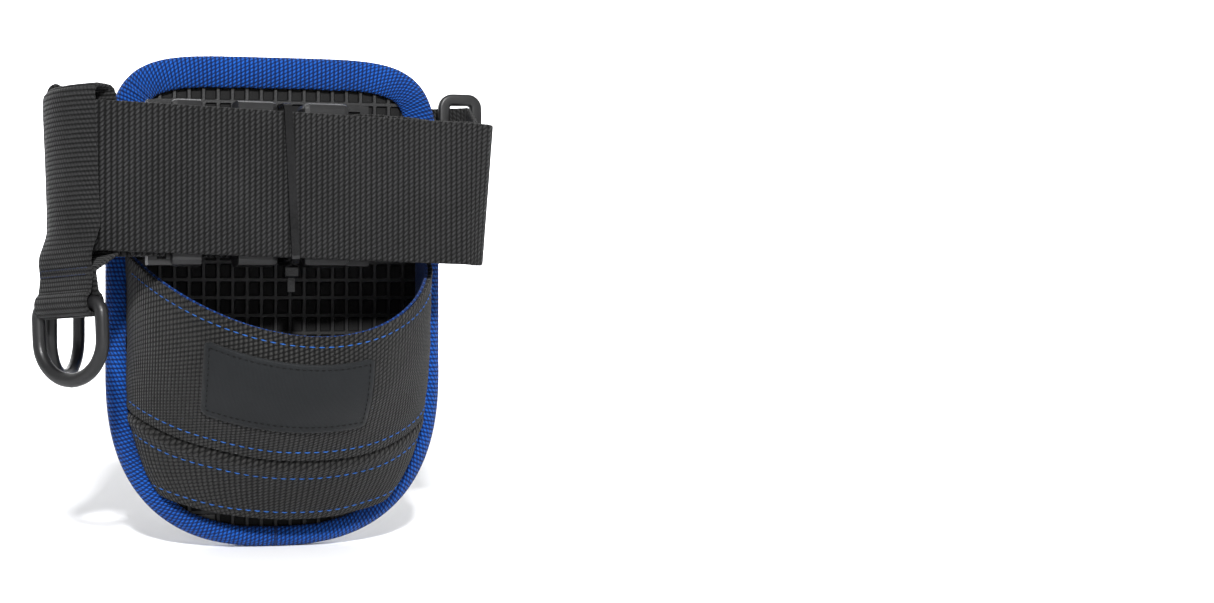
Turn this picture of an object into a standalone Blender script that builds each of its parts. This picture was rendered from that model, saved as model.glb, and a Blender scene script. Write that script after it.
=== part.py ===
"""Padded cup holder on a 50 mm waist belt: a leatherette pad with a rubber grip mat, a tapered
webbing cup, a folded belt with a side-release buckle, two strap rings and two D-ring hangers.

Frame: metres, +Z up, +X to the right seen from the front, front towards -Y.
Origin: the middle of the belt's back face. The shapes below are first placed with the origin
under the middle of the pad, at its lowest edge, and move_origin then shifts them all.
"""

import math

import bmesh
import bpy
import numpy as np
from mathutils import Matrix, Vector

MM = 0.001
GAP = 0.35 * MM                     # kept between pieces that touch

# Pad
PAD_HALF_WIDTH = 63 * MM
PAD_HEIGHT = 182 * MM
PAD_LOWER_CENTRE = 67 * MM          # the bottom curve springs from this height
PAD_UPPER_CENTRE = 116 * MM         # the top curve springs from this height
PAD_LOWER_POWER = 2.5               # superellipse exponents of the two curves
PAD_UPPER_POWER = 5.0
OUTLINE_STEPS = 30                  # points along each of the two curves

BINDING_HALF_DEPTH = 4.4 * MM
BINDING_WIDTH = 12 * MM
BINDING_THICKNESS = 1.2 * MM

MAT_BACK, MAT_FRONT = -1.6 * MM, -3.0 * MM
BOARD_FRONT, BOARD_BACK = -1.25 * MM, 0.5 * MM
FOAM_FRONT, FOAM_SKIRT, FOAM_BACK = 0.85 * MM, 1.5 * MM, 6.1 * MM
COVER_SKIRT, COVER_CROWN = 2.4 * MM, 7.0 * MM   # middle of the leatherette's thickness
COVER_THICKNESS = 1.0 * MM

# Cup wall: rows from the lip down, each (front depth, front height, side height) in mm
CUP_ROWS = [(63.5, 79, 108), (64, 70, 95), (59.5, 59, 80), (49, 47, 65), (38, 35.5, 52),
            (28, 22.5, 36), (19.5, 12.5, 21)]
SEAM_ROW = 4                        # the row where the wall's two bands meet
CUP_STEP = 7.5                      # degrees between the wall's columns
LABEL_SPAN = (-40, 20)              # degrees
CUP_SKEW = 5 * MM                   # the front of the cup leans this far to +X
CUP_BASE_INSET = 8 * MM             # from the pad's edge to the wall
CUP_BASE_Y = -4.8 * MM
FABRIC = 1.4 * MM
LINING_INSET = 1.6 * MM
LINING = 1.0 * MM
LABEL = 0.8 * MM

# Belt
WEBBING = 1.6 * MM
BELT_WIDTH = 50 * MM
BUNDLE_ORIGIN = Vector((0, -46.7 * MM, 131.5 * MM))
BUNDLE_ANGLE = math.radians(4.9)
BEHIND_BUCKLE = 15.5                # mm from the front layer to the layer behind the buckle
BACK_RUN_Y, BACK_RUN_Z = 8.7, 140.3     # mm, middle line of the run across the pad's back
STRAND_FRONT, STRAND_BACK = 3.2, 11.2   # mm, the two sides of a loop round a buckle bar

# Rectangular strap rings
RING_HEIGHT, RING_WIDTH = 60.5 * MM, 17 * MM
RING_BAR, RING_THICKNESS = 4.5 * MM, 3.4 * MM
RING_LEFT_AT = Vector((-67.5, 1.6, 139.9)) * MM
RING_RIGHT_AT = Vector((72.0, 0.6, 139.9)) * MM

# Hangers and D-rings
HANGER_WEBBING = 1.4 * MM
HANGER_WIDTH = 25 * MM
D_WIRE = 2.3 * MM                   # radius of the D-ring's rod
D_INNER_WIDTH = 26.5 * MM
D_HEIGHT = 30 * MM
D_BAR_Z = 90 * MM
HANGER_EYE = 3.3 * MM               # radius of the eye that holds the bar

# Cable tie, in the bundle's axes
TIE_AT = -2.6                       # mm along the belt
TIE_TILT = math.radians(-3)

# Buckle, in its own frame: u along the belt, w away from the front, v up (mm)
SOCKET_LEFT, SOCKET_RIGHT = -44.0, -6.2
PLUG_LEFT, PLUG_RIGHT = 2.6, 19.6
BUCKLE_HALF_HEIGHT = 28.5
WINDOW = (-33.5, -20.5)             # the socket's side openings, along u
BUCKLE_FRONT, BUCKLE_BACK = 1.7, 12.7
BUCKLE_MIDDLE = (BUCKLE_FRONT + BUCKLE_BACK) / 2
PLUG_ORIGIN = (PLUG_LEFT, BUCKLE_MIDDLE, 0)

COLOURS = {
    "webbing_black": ((0.022, 0.022, 0.024), 0.75, 0.0),
    "webbing_blue": ((0.012, 0.085, 0.55), 0.75, 0.0),
    "leatherette": ((0.045, 0.038, 0.034), 0.45, 0.0),
    "rubber_black": ((0.014, 0.014, 0.015), 0.6, 0.0),
    "foam": ((0.25, 0.25, 0.25), 0.9, 0.0),
    "board": ((0.1, 0.1, 0.1), 0.6, 0.0),
    "plastic_black": ((0.035, 0.035, 0.037), 0.4, 0.0),
    "label": ((0.012, 0.012, 0.013), 0.7, 0.0),
}


# ---------------------------------------------------------------- general helpers

def clear_scene():
    for obj in list(bpy.data.objects):
        bpy.data.objects.remove(obj, do_unlink=True)


def make_collection(name):
    collection = bpy.data.collections.new(name)
    bpy.context.scene.collection.children.link(collection)
    return collection


def make_materials():
    made = {}
    for name, (colour, roughness, metallic) in COLOURS.items():
        material = bpy.data.materials.new(name)
        material.use_nodes = True
        shader = material.node_tree.nodes["Principled BSDF"]
        shader.inputs["Base Color"].default_value = (*colour, 1)
        shader.inputs["Roughness"].default_value = roughness
        shader.inputs["Metallic"].default_value = metallic
        made[name] = material
    return made


def add_object(name, data, material, parent=None):
    obj = bpy.data.objects.new(name, data)
    PARTS.objects.link(obj)
    obj.data.materials.append(MATERIALS[material])
    obj.parent = parent
    return obj


def mesh_from(name, verts, faces):
    mesh = bpy.data.meshes.new(name)
    mesh.from_pydata([tuple(v) for v in verts], [], faces)
    mesh.validate()
    bm = bmesh.new()
    bm.from_mesh(mesh)
    bmesh.ops.recalc_face_normals(bm, faces=bm.faces)
    bm.to_mesh(mesh)
    bm.free()
    return mesh


def grid_faces(rows, columns, wrap=False):
    """Faces of a grid of points stored row by row."""
    across = columns if wrap else columns - 1
    return [
        (r * columns + c, r * columns + (c + 1) % columns,
         (r + 1) * columns + (c + 1) % columns, (r + 1) * columns + c)
        for r in range(rows - 1) for c in range(across)
    ]


def solidify(obj, thickness):
    modifier = obj.modifiers.new("Thickness", "SOLIDIFY")
    modifier.thickness = thickness
    modifier.offset = 0
    modifier.use_even_offset = True


def bevel(obj, width, segments=2):
    modifier = obj.modifiers.new("Rounded edges", "BEVEL")
    modifier.width = width
    modifier.segments = segments
    modifier.limit_method = "ANGLE"
    modifier.angle_limit = math.radians(40)


def flat_outline(name, contours, thickness, material, parent=None):
    """A plate in the local XY plane: the first contour is its edge and the others are holes."""
    curve = bpy.data.curves.new(name, "CURVE")
    curve.dimensions = "2D"
    curve.fill_mode = "BOTH"
    curve.extrude = thickness / 2
    for points in contours:
        spline = curve.splines.new("POLY")
        spline.points.add(len(points) - 1)
        for point, (x, y) in zip(spline.points, points):
            point.co = (x, y, 0, 1)
        spline.use_cyclic_u = True
    return add_object(name, curve, material, parent)


def curve_to_mesh(obj):
    """Replaces a curve object by a mesh object with welded caps."""
    mesh = bpy.data.meshes.new_from_object(obj.evaluated_get(bpy.context.evaluated_depsgraph_get()))
    bm = bmesh.new()
    bm.from_mesh(mesh)
    bmesh.ops.remove_doubles(bm, verts=bm.verts, dist=1e-6)
    bm.to_mesh(mesh)
    bm.free()
    name, parent, place = obj.name, obj.parent, obj.matrix_basis.copy()
    bpy.data.objects.remove(obj)
    made = bpy.data.objects.new(name, mesh)
    PARTS.objects.link(made)
    made.parent = parent
    made.matrix_basis = place
    return made


def box_mesh(name, low, high):
    """A box between two corners, in the owner's own axes."""
    bm = bmesh.new()
    bmesh.ops.create_cube(bm, size=1)
    for vert in bm.verts:
        vert.co = Vector([lo + (c + 0.5) * (hi - lo) for lo, hi, c in zip(low, high, vert.co)])
    mesh = bpy.data.meshes.new(name)
    bm.to_mesh(mesh)
    bm.free()
    return mesh


def boolean(obj, low, high, operation="DIFFERENCE"):
    """Cuts from obj, or joins to it, a box given in the buckle's axes (mm)."""
    cutter = bpy.data.objects.new(f"cutter_{obj.name}_{len(obj.modifiers)}",
                                  box_mesh("cutter", [c * MM for c in low], [c * MM for c in high]))
    CUTTERS.objects.link(cutter)
    cutter.parent = BUNDLE
    cutter.hide_render = True
    cutter.display_type = "WIRE"
    modifier = obj.modifiers.new("Cut", "BOOLEAN")
    modifier.operation = operation
    modifier.object = cutter


def arc(centre, radius, start, end, steps):
    """Points on an arc, angles in degrees."""
    angles = [math.radians(start + (end - start) * i / steps) for i in range(steps + 1)]
    return [(centre[0] + radius * math.cos(a), centre[1] + radius * math.sin(a)) for a in angles]


def rounded_box(half_width, half_height, radius, steps=4):
    points = []
    for quarter, (sx, sy) in enumerate([(1, 1), (-1, 1), (-1, -1), (1, -1)]):
        centre = (sx * (half_width - radius), sy * (half_height - radius))
        points += arc(centre, radius, 90 * quarter, 90 * quarter + 90, steps)
    return points


# ---------------------------------------------------------------- pad

def edge_width(z):
    """Half the pad's width at height z."""
    if z < PAD_LOWER_CENTRE:
        rise, reach, power = PAD_LOWER_CENTRE - z, PAD_LOWER_CENTRE, PAD_LOWER_POWER
    elif z > PAD_UPPER_CENTRE:
        rise, reach, power = z - PAD_UPPER_CENTRE, PAD_HEIGHT - PAD_UPPER_CENTRE, PAD_UPPER_POWER
    else:
        return PAD_HALF_WIDTH
    return PAD_HALF_WIDTH * max(0.0, 1 - (rise / reach) ** power) ** (1 / power)


def superellipse(power, reach, centre, side, steps):
    """Quarter points of the pad's edge, from the side towards the middle."""
    points = []
    for i in range(steps + 1):
        angle = math.pi / 2 * i / steps
        x = PAD_HALF_WIDTH * math.cos(angle) ** (2 / power)
        z = centre + side * reach * math.sin(angle) ** (2 / power)
        points.append((x, z))
    return points


def pad_outline():
    """The pad's edge as (x, z), counter-clockwise seen from the front, from the bottom middle."""
    half = OUTLINE_STEPS // 2
    lower = superellipse(PAD_LOWER_POWER, PAD_LOWER_CENTRE, PAD_LOWER_CENTRE, -1, half)
    upper = superellipse(PAD_UPPER_POWER, PAD_HEIGHT - PAD_UPPER_CENTRE, PAD_UPPER_CENTRE, 1, half)
    right = lower[::-1] + upper
    return right + [(-x, z) for x, z in right[-2:0:-1]]


def inset(points, distance):
    """Moves each point of a closed outline inwards along its own normal."""
    moved = []
    count = len(points)
    for i, (x, z) in enumerate(points):
        before, after = points[i - 1], points[(i + 1) % count]
        dx, dz = after[0] - before[0], after[1] - before[1]
        length = math.hypot(dx, dz)
        moved.append((x - dz / length * distance, z + dx / length * distance))
    return moved


def pad_rings(name, rings, material, close=False):
    """A surface through copies of the pad's edge, each (inset, y), in order; close=True joins
    the last ring to the first, and otherwise both ends are capped."""
    outline = pad_outline()
    count = len(outline)
    verts = []
    for distance, y in rings:
        verts += [(x, y, z) for x, z in inset(outline, distance)]
    faces = grid_faces(len(rings), count, wrap=True)
    last = (len(rings) - 1) * count
    if close:
        faces += [(last + c, last + (c + 1) % count, (c + 1) % count, c) for c in range(count)]
    else:
        faces += [tuple(range(count)), tuple(last + c for c in range(count))]
    return add_object(name, mesh_from(name, verts, faces), material)


def make_pad():
    # The binding is a U round the edge: out along the front, over the edge, in along the back.
    half, width, wall = BINDING_HALF_DEPTH, BINDING_WIDTH, BINDING_THICKNESS
    corner = 1.6 * MM
    outer = [(width, -half), (corner, -half), (0.4 * MM, -half + 0.5 * MM), (0, -half + corner)]
    inner = [(width, -half + wall), (corner, -half + wall)]
    section = outer + [(d, -y) for d, y in reversed(outer)]
    section += [(d, -y) for d, y in inner] + list(reversed(inner))
    pad_rings("edge_binding", section, "webbing_blue", close=True)

    pad_rings("grip_mat", [(2 * MM, MAT_FRONT), (2 * MM, MAT_BACK)], "rubber_black")
    pad_rings("backing_board", [(3 * MM, BOARD_FRONT), (3 * MM, BOARD_BACK)], "board")
    pad_rings("foam_pad", [
        (4 * MM, FOAM_FRONT), (4 * MM, FOAM_SKIRT), (19 * MM, FOAM_SKIRT),
        (21 * MM, FOAM_BACK - 1.5 * MM), (24 * MM, FOAM_BACK)], "foam")

    # The cover is a shell pressed over the foam and down on to the flat margin round it.
    half = COVER_THICKNESS / 2
    front = [(2 * MM, COVER_SKIRT - half), (17.5 * MM, COVER_SKIRT - half),
             (19.4 * MM, COVER_CROWN - half - 1.7 * MM), (23 * MM, COVER_CROWN - half)]
    back = [(23.6 * MM, COVER_CROWN + half), (18 * MM, COVER_CROWN + half - 2.2 * MM),
            (16 * MM, COVER_SKIRT + half), (2 * MM, COVER_SKIRT + half)]
    outline = pad_outline()
    count = len(outline)
    verts = []
    for distance, y in front + back:
        verts += [(x, y, z) for x, z in inset(outline, distance)]
    faces = [f for f in grid_faces(len(front + back), count, wrap=True)
             if not (3 * count <= f[0] < 4 * count)]
    faces += [(7 * count + c, 7 * count + (c + 1) % count, (c + 1) % count, c) for c in range(count)]
    faces += [tuple(3 * count + c for c in range(count)), tuple(4 * count + c for c in range(count))]
    add_object("back_cover", mesh_from("back_cover", verts, faces), "leatherette")


# ---------------------------------------------------------------- cup

def cup_row(t):
    """The cup's (front depth, front height, side height) in metres, t rows below the lip."""
    index = min(int(t), len(CUP_ROWS) - 2)
    above, below = CUP_ROWS[index], CUP_ROWS[index + 1]
    return [(a + (b - a) * (t - index)) * MM for a, b in zip(above, below)]


def cup_middle(t, angle):
    """A point in the middle of the wall's thickness. angle runs from -90 to 90 degrees across."""
    depth, front_z, side_z = cup_row(t)
    cosine, sine = abs(math.cos(angle)), math.sin(angle)
    z = side_z + (front_z - side_z) * cosine ** 1.5
    x = (edge_width(side_z) - CUP_BASE_INSET) * sine + CUP_SKEW * cosine ** 2
    y = CUP_BASE_Y - (depth + CUP_BASE_Y) * cosine ** 0.9
    return Vector((x, y, z))


def cup_point(t, angle, outset):
    """cup_middle moved outwards, square to the wall, but never behind the pad's face."""
    at = cup_middle(t, angle)
    step = math.radians(3)
    low, high = max(angle - step, -math.pi / 2), min(angle + step, math.pi / 2)
    across = cup_middle(t, high) - cup_middle(t, low)
    down = cup_middle(min(t + 0.5, len(CUP_ROWS) - 1), angle) - cup_middle(max(t - 0.5, 0), angle)
    moved = at + down.cross(across).normalized() * outset
    moved.y = min(moved.y, CUP_BASE_Y)
    return moved


def cup_patch(name, rows, angles, outset, thickness, material):
    """A piece of the cup's wall, between the given rows and angles (degrees)."""
    verts = [cup_point(t, math.radians(a), outset) for t in rows for a in angles]
    faces = grid_faces(len(rows), len(angles))
    obj = add_object(name, mesh_from(name, verts, faces), material)
    solidify(obj, thickness)
    return obj


def make_cup():
    columns = [-90 + CUP_STEP * i for i in range(round(180 / CUP_STEP) + 1)]
    seam = SEAM_ROW
    cup_patch("pocket_upper_band", [0, 1, 2, 3, seam - 0.03], columns, 0, FABRIC, "webbing_black")
    cup_patch("pocket_lower_band", [seam + 0.03, 4.5, 5, 5.5, 6], columns, 0, FABRIC, "webbing_black")
    cup_patch("pocket_lining", [0, 1, 2, 3, seam, 4.5, 5, 5.5, 6], columns, -LINING_INSET, LINING,
              "webbing_blue")
    label_columns = [c for c in columns if LABEL_SPAN[0] <= c <= LABEL_SPAN[1]]
    label_outset = FABRIC / 2 + GAP + LABEL / 2
    cup_patch("label_patch", [1, 1.5, 2, 2.5, 3], label_columns, label_outset, LABEL, "label")

    # Mesh floor of the cup, from the pad's face to the wall's lower edge.
    verts = []
    for share in (0.0, 0.5, 1.0):
        for column in columns[1:-1]:
            outer = cup_point(6, math.radians(column), -3.2 * MM)
            inner = Vector((outer.x, CUP_BASE_Y - 0.6 * MM, outer.z + 3.0 * MM))
            verts.append(inner.lerp(outer, share))
    faces = grid_faces(3, len(columns) - 2)
    floor = add_object("drain_mesh", mesh_from("drain_mesh", verts, faces), "rubber_black")
    solidify(floor, 1.0 * MM)


# ---------------------------------------------------------------- belt

def bundle_xy(u, w):
    """World x and y, in mm, of a point of the folded bundle."""
    c, s = math.cos(BUNDLE_ANGLE), math.sin(BUNDLE_ANGLE)
    return (BUNDLE_ORIGIN.x / MM + u * c - w * s, BUNDLE_ORIGIN.y / MM + u * s + w * c)


def rounded_path(corners, step=20):
    """Rounds the corners of a polyline. Each corner is (x, y, height, radius) in mm; the result
    is a list of (x, y, height) with a point every step degrees of turn. The height runs evenly
    from the middle of one bend to the middle of the next."""
    points, knots = [Vector(corners[0][:2])], [0]
    for before, corner, after in zip(corners, corners[1:], corners[2:]):
        at = Vector(corner[:2])
        to_before = (Vector(before[:2]) - at).normalized()
        to_after = (Vector(after[:2]) - at).normalized()
        opening = to_before.angle(to_after)
        centre = at + (to_before + to_after).normalized() * (corner[3] / math.sin(opening / 2))
        start = at + to_before * (corner[3] / math.tan(opening / 2)) - centre
        turn = math.copysign(math.pi - opening, start.cross(at - centre))
        count = 2 * max(1, round(abs(math.degrees(turn)) / step / 2))
        points += [centre + Matrix.Rotation(turn * i / count, 2) @ start for i in range(count + 1)]
        knots.append(len(points) - 1 - count // 2)
    points.append(Vector(corners[-1][:2]))
    knots.append(len(points) - 1)

    lengths = [0.0]
    for a, b in zip(points, points[1:]):
        lengths.append(lengths[-1] + (b - a).length)
    heights = np.interp(lengths, [lengths[k] for k in knots], [c[2] for c in corners])
    return [(p.x, p.y, float(h)) for p, h in zip(points, heights)]


def ribbon(name, points, thickness, width, material, parent=None):
    """Webbing standing on edge along a path of (x, y, height of its middle), in mm."""
    verts = []
    for x, y, z in points:
        verts.append(Vector((x, y, z)) * MM + Vector((0, 0, -width / 2)))
        verts.append(Vector((x, y, z)) * MM + Vector((0, 0, width / 2)))
    faces = [(2 * i, 2 * i + 2, 2 * i + 3, 2 * i + 1) for i in range(len(points) - 1)]
    obj = add_object(name, mesh_from(name, verts, faces), material, parent)
    solidify(obj, thickness)
    return obj


def belt_corners():
    """The belt from the fold at its right front end, round the pad, to the buckle socket."""
    back = BEHIND_BUCKLE
    loop_u = SOCKET_LEFT - 2.3
    return [
        (*bundle_xy(66, 7.0), 129.2, 0),
        (*bundle_xy(72.5, 7.0), 129.0, 3.4),
        (*bundle_xy(72.5, 0), 128.9, 3.4),
        (*bundle_xy(-93.3, 0), 133.6, 18.0),  # front left bend, under the front hanger
        (-74.5, -6.5, 139.5, 6.0),            # behind the rear hanger
        (-60.5, BACK_RUN_Y, BACK_RUN_Z, 5.0),     # through the left ring to the pad's back
        (65.5, BACK_RUN_Y, BACK_RUN_Z, 5.0),      # through the right ring
        (74.0, -4.0, 139.4, 6.0),
        (*bundle_xy(72.5, back), 131.6, 6.0),
        (*bundle_xy(-60.5, back), 131.5, 2.1),
        (*bundle_xy(-60.5, STRAND_BACK), 131.5, 2.1),
        (*bundle_xy(loop_u, STRAND_BACK), 131.5, 1.3),
        (*bundle_xy(loop_u, STRAND_FRONT), 131.5, 1.3),
        (*bundle_xy(loop_u - 11, STRAND_FRONT), 131.5, 0),
    ]


def make_belt():
    return ribbon("belt_webbing", rounded_path(belt_corners()), WEBBING, BELT_WIDTH, "webbing_black")


# ---------------------------------------------------------------- buckle

def bundle_box(name, low, high, material, parent, origin=(0, 0, 0)):
    """A box whose corners are in the bundle's axes (mm), on a parent that sits at origin there."""
    low, high = ([(c - o) * MM for c, o in zip(corner, origin)] for corner in (low, high))
    return add_object(name, box_mesh(name, low, high), material, parent)


def make_buckle():
    h, front, back = BUCKLE_HALF_HEIGHT, BUCKLE_FRONT, BUCKLE_BACK
    middle = BUCKLE_MIDDLE

    socket = bundle_box("buckle_socket", (SOCKET_LEFT, front, -h), (SOCKET_RIGHT, back, h),
                        "plastic_black", BUNDLE)
    bevel(socket, 2.2 * MM)
    boolean(socket, (SOCKET_LEFT - 7.5, middle - 2.6, -h + 0.4), (SOCKET_LEFT + 3, middle + 2.6, h - 0.4),
            "UNION")
    boolean(socket, (SOCKET_LEFT - 4.4, front - 2, -26), (SOCKET_LEFT, back + 2, 26))
    boolean(socket, (SOCKET_LEFT + 4, middle - 3.9, -23.6), (SOCKET_RIGHT + 2, middle + 3.9, 23.6))
    for side in (-1, 1):
        low, high = sorted((side * 20, side * (h + 2)))
        boolean(socket, (WINDOW[0], front - 2, low), (WINDOW[1], back + 2, high))

    plug = bundle_box("buckle_plug", (PLUG_LEFT, front, -h), (PLUG_RIGHT, back, h),
                      "plastic_black", PLUG_SLIDE, PLUG_ORIGIN)
    bevel(plug, 2.2 * MM)
    boolean(plug, (PLUG_RIGHT - 3, middle - 2.6, -h + 0.4), (PLUG_RIGHT + 7.5, middle + 2.6, h - 0.4),
            "UNION")
    boolean(plug, (PLUG_RIGHT, front - 2, -26), (PLUG_RIGHT + 4.4, back + 2, 26))
    boolean(plug, (-28, middle - 2.2, -6), (PLUG_LEFT + 3, middle + 2.2, 6), "UNION")

    for side, name in ((1, "plug_prong_upper"), (-1, "plug_prong_lower")):
        outline = [(0, -2.2), (0, 2.2), (-22, 2.2), (-23, 5.6), (-33, 5.6), (-37, 2.5), (-38, -1.5),
                   (-35, -3.2), (-22, -2.6)]
        points = [(u * MM, side * v * MM) for u, v in outline]
        prong = flat_outline(name, [points], 5.6 * MM, "plastic_black", PRONG_PIVOTS[name])
        prong.rotation_euler = (math.pi / 2, 0, 0)


def make_buckle_pivots():
    """Empties: the bundle's frame, the plug's slide, and the roots of the plug's two prongs."""
    bundle = make_empty("bundle_frame", BUNDLE_ORIGIN)
    bundle.rotation_euler = (0, 0, BUNDLE_ANGLE)
    slide = make_empty("plug_slide", Vector(PLUG_ORIGIN) * MM, bundle)
    pivots = {}
    for side, name in ((1, "plug_prong_upper"), (-1, "plug_prong_lower")):
        at = Vector((-GAP / MM - 0.05, 0, side * 16.6)) * MM
        pivots[name] = make_empty(f"{name}_root", at, slide)
    return bundle, slide, pivots


def make_plug_loop():
    """The belt's end round the plug's bar, which travels with the plug."""
    u = PLUG_RIGHT + 2.2
    corners = [
        (*bundle_xy(u + 13, STRAND_FRONT), 131.5, 0),
        (*bundle_xy(u, STRAND_FRONT), 131.5, 1.3),
        (*bundle_xy(u, STRAND_BACK), 131.5, 1.3),
        (*bundle_xy(u + 13, STRAND_BACK), 131.5, 0),
    ]
    ribbon("belt_plug_loop", rounded_path(corners), WEBBING, BELT_WIDTH, "webbing_black")


def make_cable_tie():
    """A tie round the bundle at the gap between the buckle's halves, and its head below."""
    front, back = -WEBBING / MM / 2 - 0.3, BEHIND_BUCKLE + WEBBING / MM / 2 + 0.3
    half_depth, middle, half_height = (back - front) / 2, (back + front) / 2, 26.6
    wall = 1.2
    outer = rounded_box((half_depth + wall) * MM, (half_height + wall) * MM, 3.0 * MM)
    inner = rounded_box(half_depth * MM, half_height * MM, 1.9 * MM)
    band = flat_outline("cable_tie_band", [outer, inner], 2.8 * MM, "plastic_black", BUNDLE)
    band.location = Vector((TIE_AT, middle, 0)) * MM
    band.matrix_basis = band.matrix_basis @ (
        Matrix.Rotation(TIE_TILT, 4, "Y") @ Matrix.Rotation(math.pi / 2, 4, "Z")
        @ Matrix.Rotation(math.pi / 2, 4, "X"))

    low = -half_height - wall - GAP / MM
    at = TIE_AT + 1.6
    head = bundle_box("cable_tie_head", (at - 2.5, 3.0, low - 4.2), (at + 2.5, 8.4, low),
                      "plastic_black", BUNDLE)
    bevel(head, 0.6 * MM, 1)
    boolean(head, (at - 1.3, 5.0, low - 9.0), (at + 1.3, 6.2, low - 3), "UNION")


# ---------------------------------------------------------------- rings and hangers

def make_empty(name, location, parent=None):
    empty = bpy.data.objects.new(name, None)
    PARTS.objects.link(empty)
    empty.location = location
    empty.parent = parent
    return empty


def make_strap_ring(name, at, heading):
    """A rectangular ring that stands upright. heading is the angle of its width from +X."""
    outer = rounded_box(RING_WIDTH / 2, RING_HEIGHT / 2, 5.5 * MM, 5)
    inner = rounded_box(RING_WIDTH / 2 - RING_BAR, RING_HEIGHT / 2 - RING_BAR, 2.0 * MM, 3)
    ring = curve_to_mesh(flat_outline(name, [outer, inner], RING_THICKNESS, "plastic_black"))
    bevel(ring, 0.9 * MM, 2)
    ring.location = at
    ring.rotation_euler = (math.pi / 2, 0, math.radians(heading))
    return ring


def frame_on_belt(name, at, outward, height, roll):
    """An empty at a place on the belt: its X runs along the belt and its Y points outwards.
    roll turns it about its Y, so that what hangs from it leans."""
    out = Vector((outward[0], outward[1], 0)).normalized()
    along = out.cross(Vector((0, 0, 1)))
    frame = make_empty(name, (0, 0, 0))
    axes = Matrix((along, out, Vector((0, 0, 1)))).transposed()
    frame.matrix_world = Matrix.Translation(Vector((at[0], at[1], height)) * MM) @ axes.to_4x4() @ (
        Matrix.Rotation(math.radians(roll), 4, "Y"))
    return frame


def hanger_contours(reach_out, reach_in, top, waist, eye_z):
    """Side view of a hanger: (outwards, up) contours of the webbing, of the opening round the
    belt and of the eye round the D-ring's bar. All in metres, up from the frame's height."""
    wall = HANGER_WEBBING
    middle = (reach_out - reach_in) / 2
    half = (reach_out + reach_in) / 2

    def shell(grow):
        """The loop's contour, grown outwards: legs, rounded top, and the lean to the waist."""
        r = min(2.2 * MM, 0.9 * half) + grow
        h = half + grow
        points = [(middle + h, waist + 5.2 * MM)]
        points += [(middle + h - r + dx, top + grow - r + dz) for dx, dz in arc((0, 0), r, 0, 90, 3)]
        points += [(middle - h + r + dx, top + grow - r + dz) for dx, dz in arc((0, 0), r, 90, 180, 3)]
        points += [(middle - h, waist + 5.2 * MM)]
        return points

    neck = wall + 0.15 * MM
    eye = [(x, eye_z + z) for x, z in arc((0, 0), HANGER_EYE, 0, 336, 14)]
    r = HANGER_EYE + wall
    lower = [(x, eye_z + z) for x, z in arc((0, 0), r, 145, 395, 12)]
    outer = shell(wall) + [(-neck, waist), (-neck, waist - 3 * MM)] + lower
    outer += [(neck, waist - 3 * MM), (neck, waist)]
    inner = shell(0) + [(0, waist + 1.8 * MM)]
    return [outer, inner, eye]


def make_hanger(name, place, outward, height, reach_out, reach_in, roll):
    """A webbing loop over the belt, with an eye below it. Returns its frame."""
    frame = frame_on_belt(f"{name}_frame", place, outward, height, roll)
    top = BELT_WIDTH / 2 + 0.7 * MM
    contours = hanger_contours(reach_out * MM, reach_in * MM, top, (101 - height) * MM,
                               D_BAR_Z - height * MM)
    flat_outline(name, contours, HANGER_WIDTH, "webbing_black", frame)
    bpy.data.objects[name].rotation_euler = (math.pi / 2, 0, math.pi / 2)
    return frame


def make_d_ring(name, frame, height):
    """A D of round rod hanging in the hanger's eye. Its origin is on its straight bar."""
    half = D_INNER_WIDTH / 2 + D_WIRE
    corner = 4.2 * MM
    bow = half * 0.86               # how far the round end reaches down from its widest place
    widest = D_HEIGHT - 2 * D_WIRE - bow
    path = [(0, 0)] + arc((half - corner, -corner), corner, 90, 0, 4)
    path += [(half * x, -widest + bow * z) for x, z in arc((0, 0), 1.0, 0, -90, 7)]
    path += [(-x, z) for x, z in path[-2:0:-1]]
    curve = bpy.data.curves.new(name, "CURVE")
    curve.dimensions = "3D"
    curve.bevel_depth = D_WIRE
    curve.bevel_resolution = 2
    spline = curve.splines.new("POLY")
    spline.points.add(len(path) - 1)
    for point, (x, z) in zip(spline.points, path):
        point.co = (x, 0, z, 1)
    spline.use_cyclic_u = True
    ring = add_object(name, curve, "plastic_black", frame)
    ring.location = (0, 0, D_BAR_Z - height * MM)
    return ring


def make_hangers():
    # The front hanger bridges the bend at the belt's front left; the rear one hangs on the run
    # from that bend to the left ring.
    places = [
        ("front", (-79.9, -47.3), (-0.766, -0.643), 136.4, 0.8, 10.9, 3),
        ("rear", (-78.2, -16.2), (-0.935, 0.355), 139.6, 1.5, 2.0, 0),
    ]
    for label, at, outward, height, reach_out, reach_in, roll in places:
        frame = make_hanger(f"hanger_loop_{label}", at, outward, height, reach_out, reach_in, roll)
        make_d_ring(f"d_ring_{label}", frame, height)


def move_origin():
    """The shapes above are placed from the bottom of the pad. This puts the origin in the middle
    of the belt's back face, which lies against the wearer."""
    origin = Vector((0, BACK_RUN_Y * MM + WEBBING / 2, BACK_RUN_Z * MM))
    for obj in bpy.data.objects:
        if obj.parent is None:
            obj.location -= origin


clear_scene()
PARTS = make_collection("belt_cup_pad")
CUTTERS = make_collection("cutters")
MATERIALS = make_materials()
BUNDLE, PLUG_SLIDE, PRONG_PIVOTS = make_buckle_pivots()

make_pad()
make_cup()
make_belt()
make_buckle()
make_plug_loop()
make_cable_tie()
make_strap_ring("ring_left", RING_LEFT_AT, 90)
make_strap_ring("ring_right", RING_RIGHT_AT, 0)
make_hangers()
move_origin()
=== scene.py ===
"""Looks of a rod bucket pad on a folded waist belt.

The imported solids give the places. The belt, the hanging loops, the binding, the cup and the back
are remade here as woven and padded surfaces, with their own coordinates in millimetres along and
across the cloth, so that weaves and stitches keep their real pitch.

World axes: +X right seen from the cup side, -Y towards the camera, +Z up, metres.
"""
import math

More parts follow.
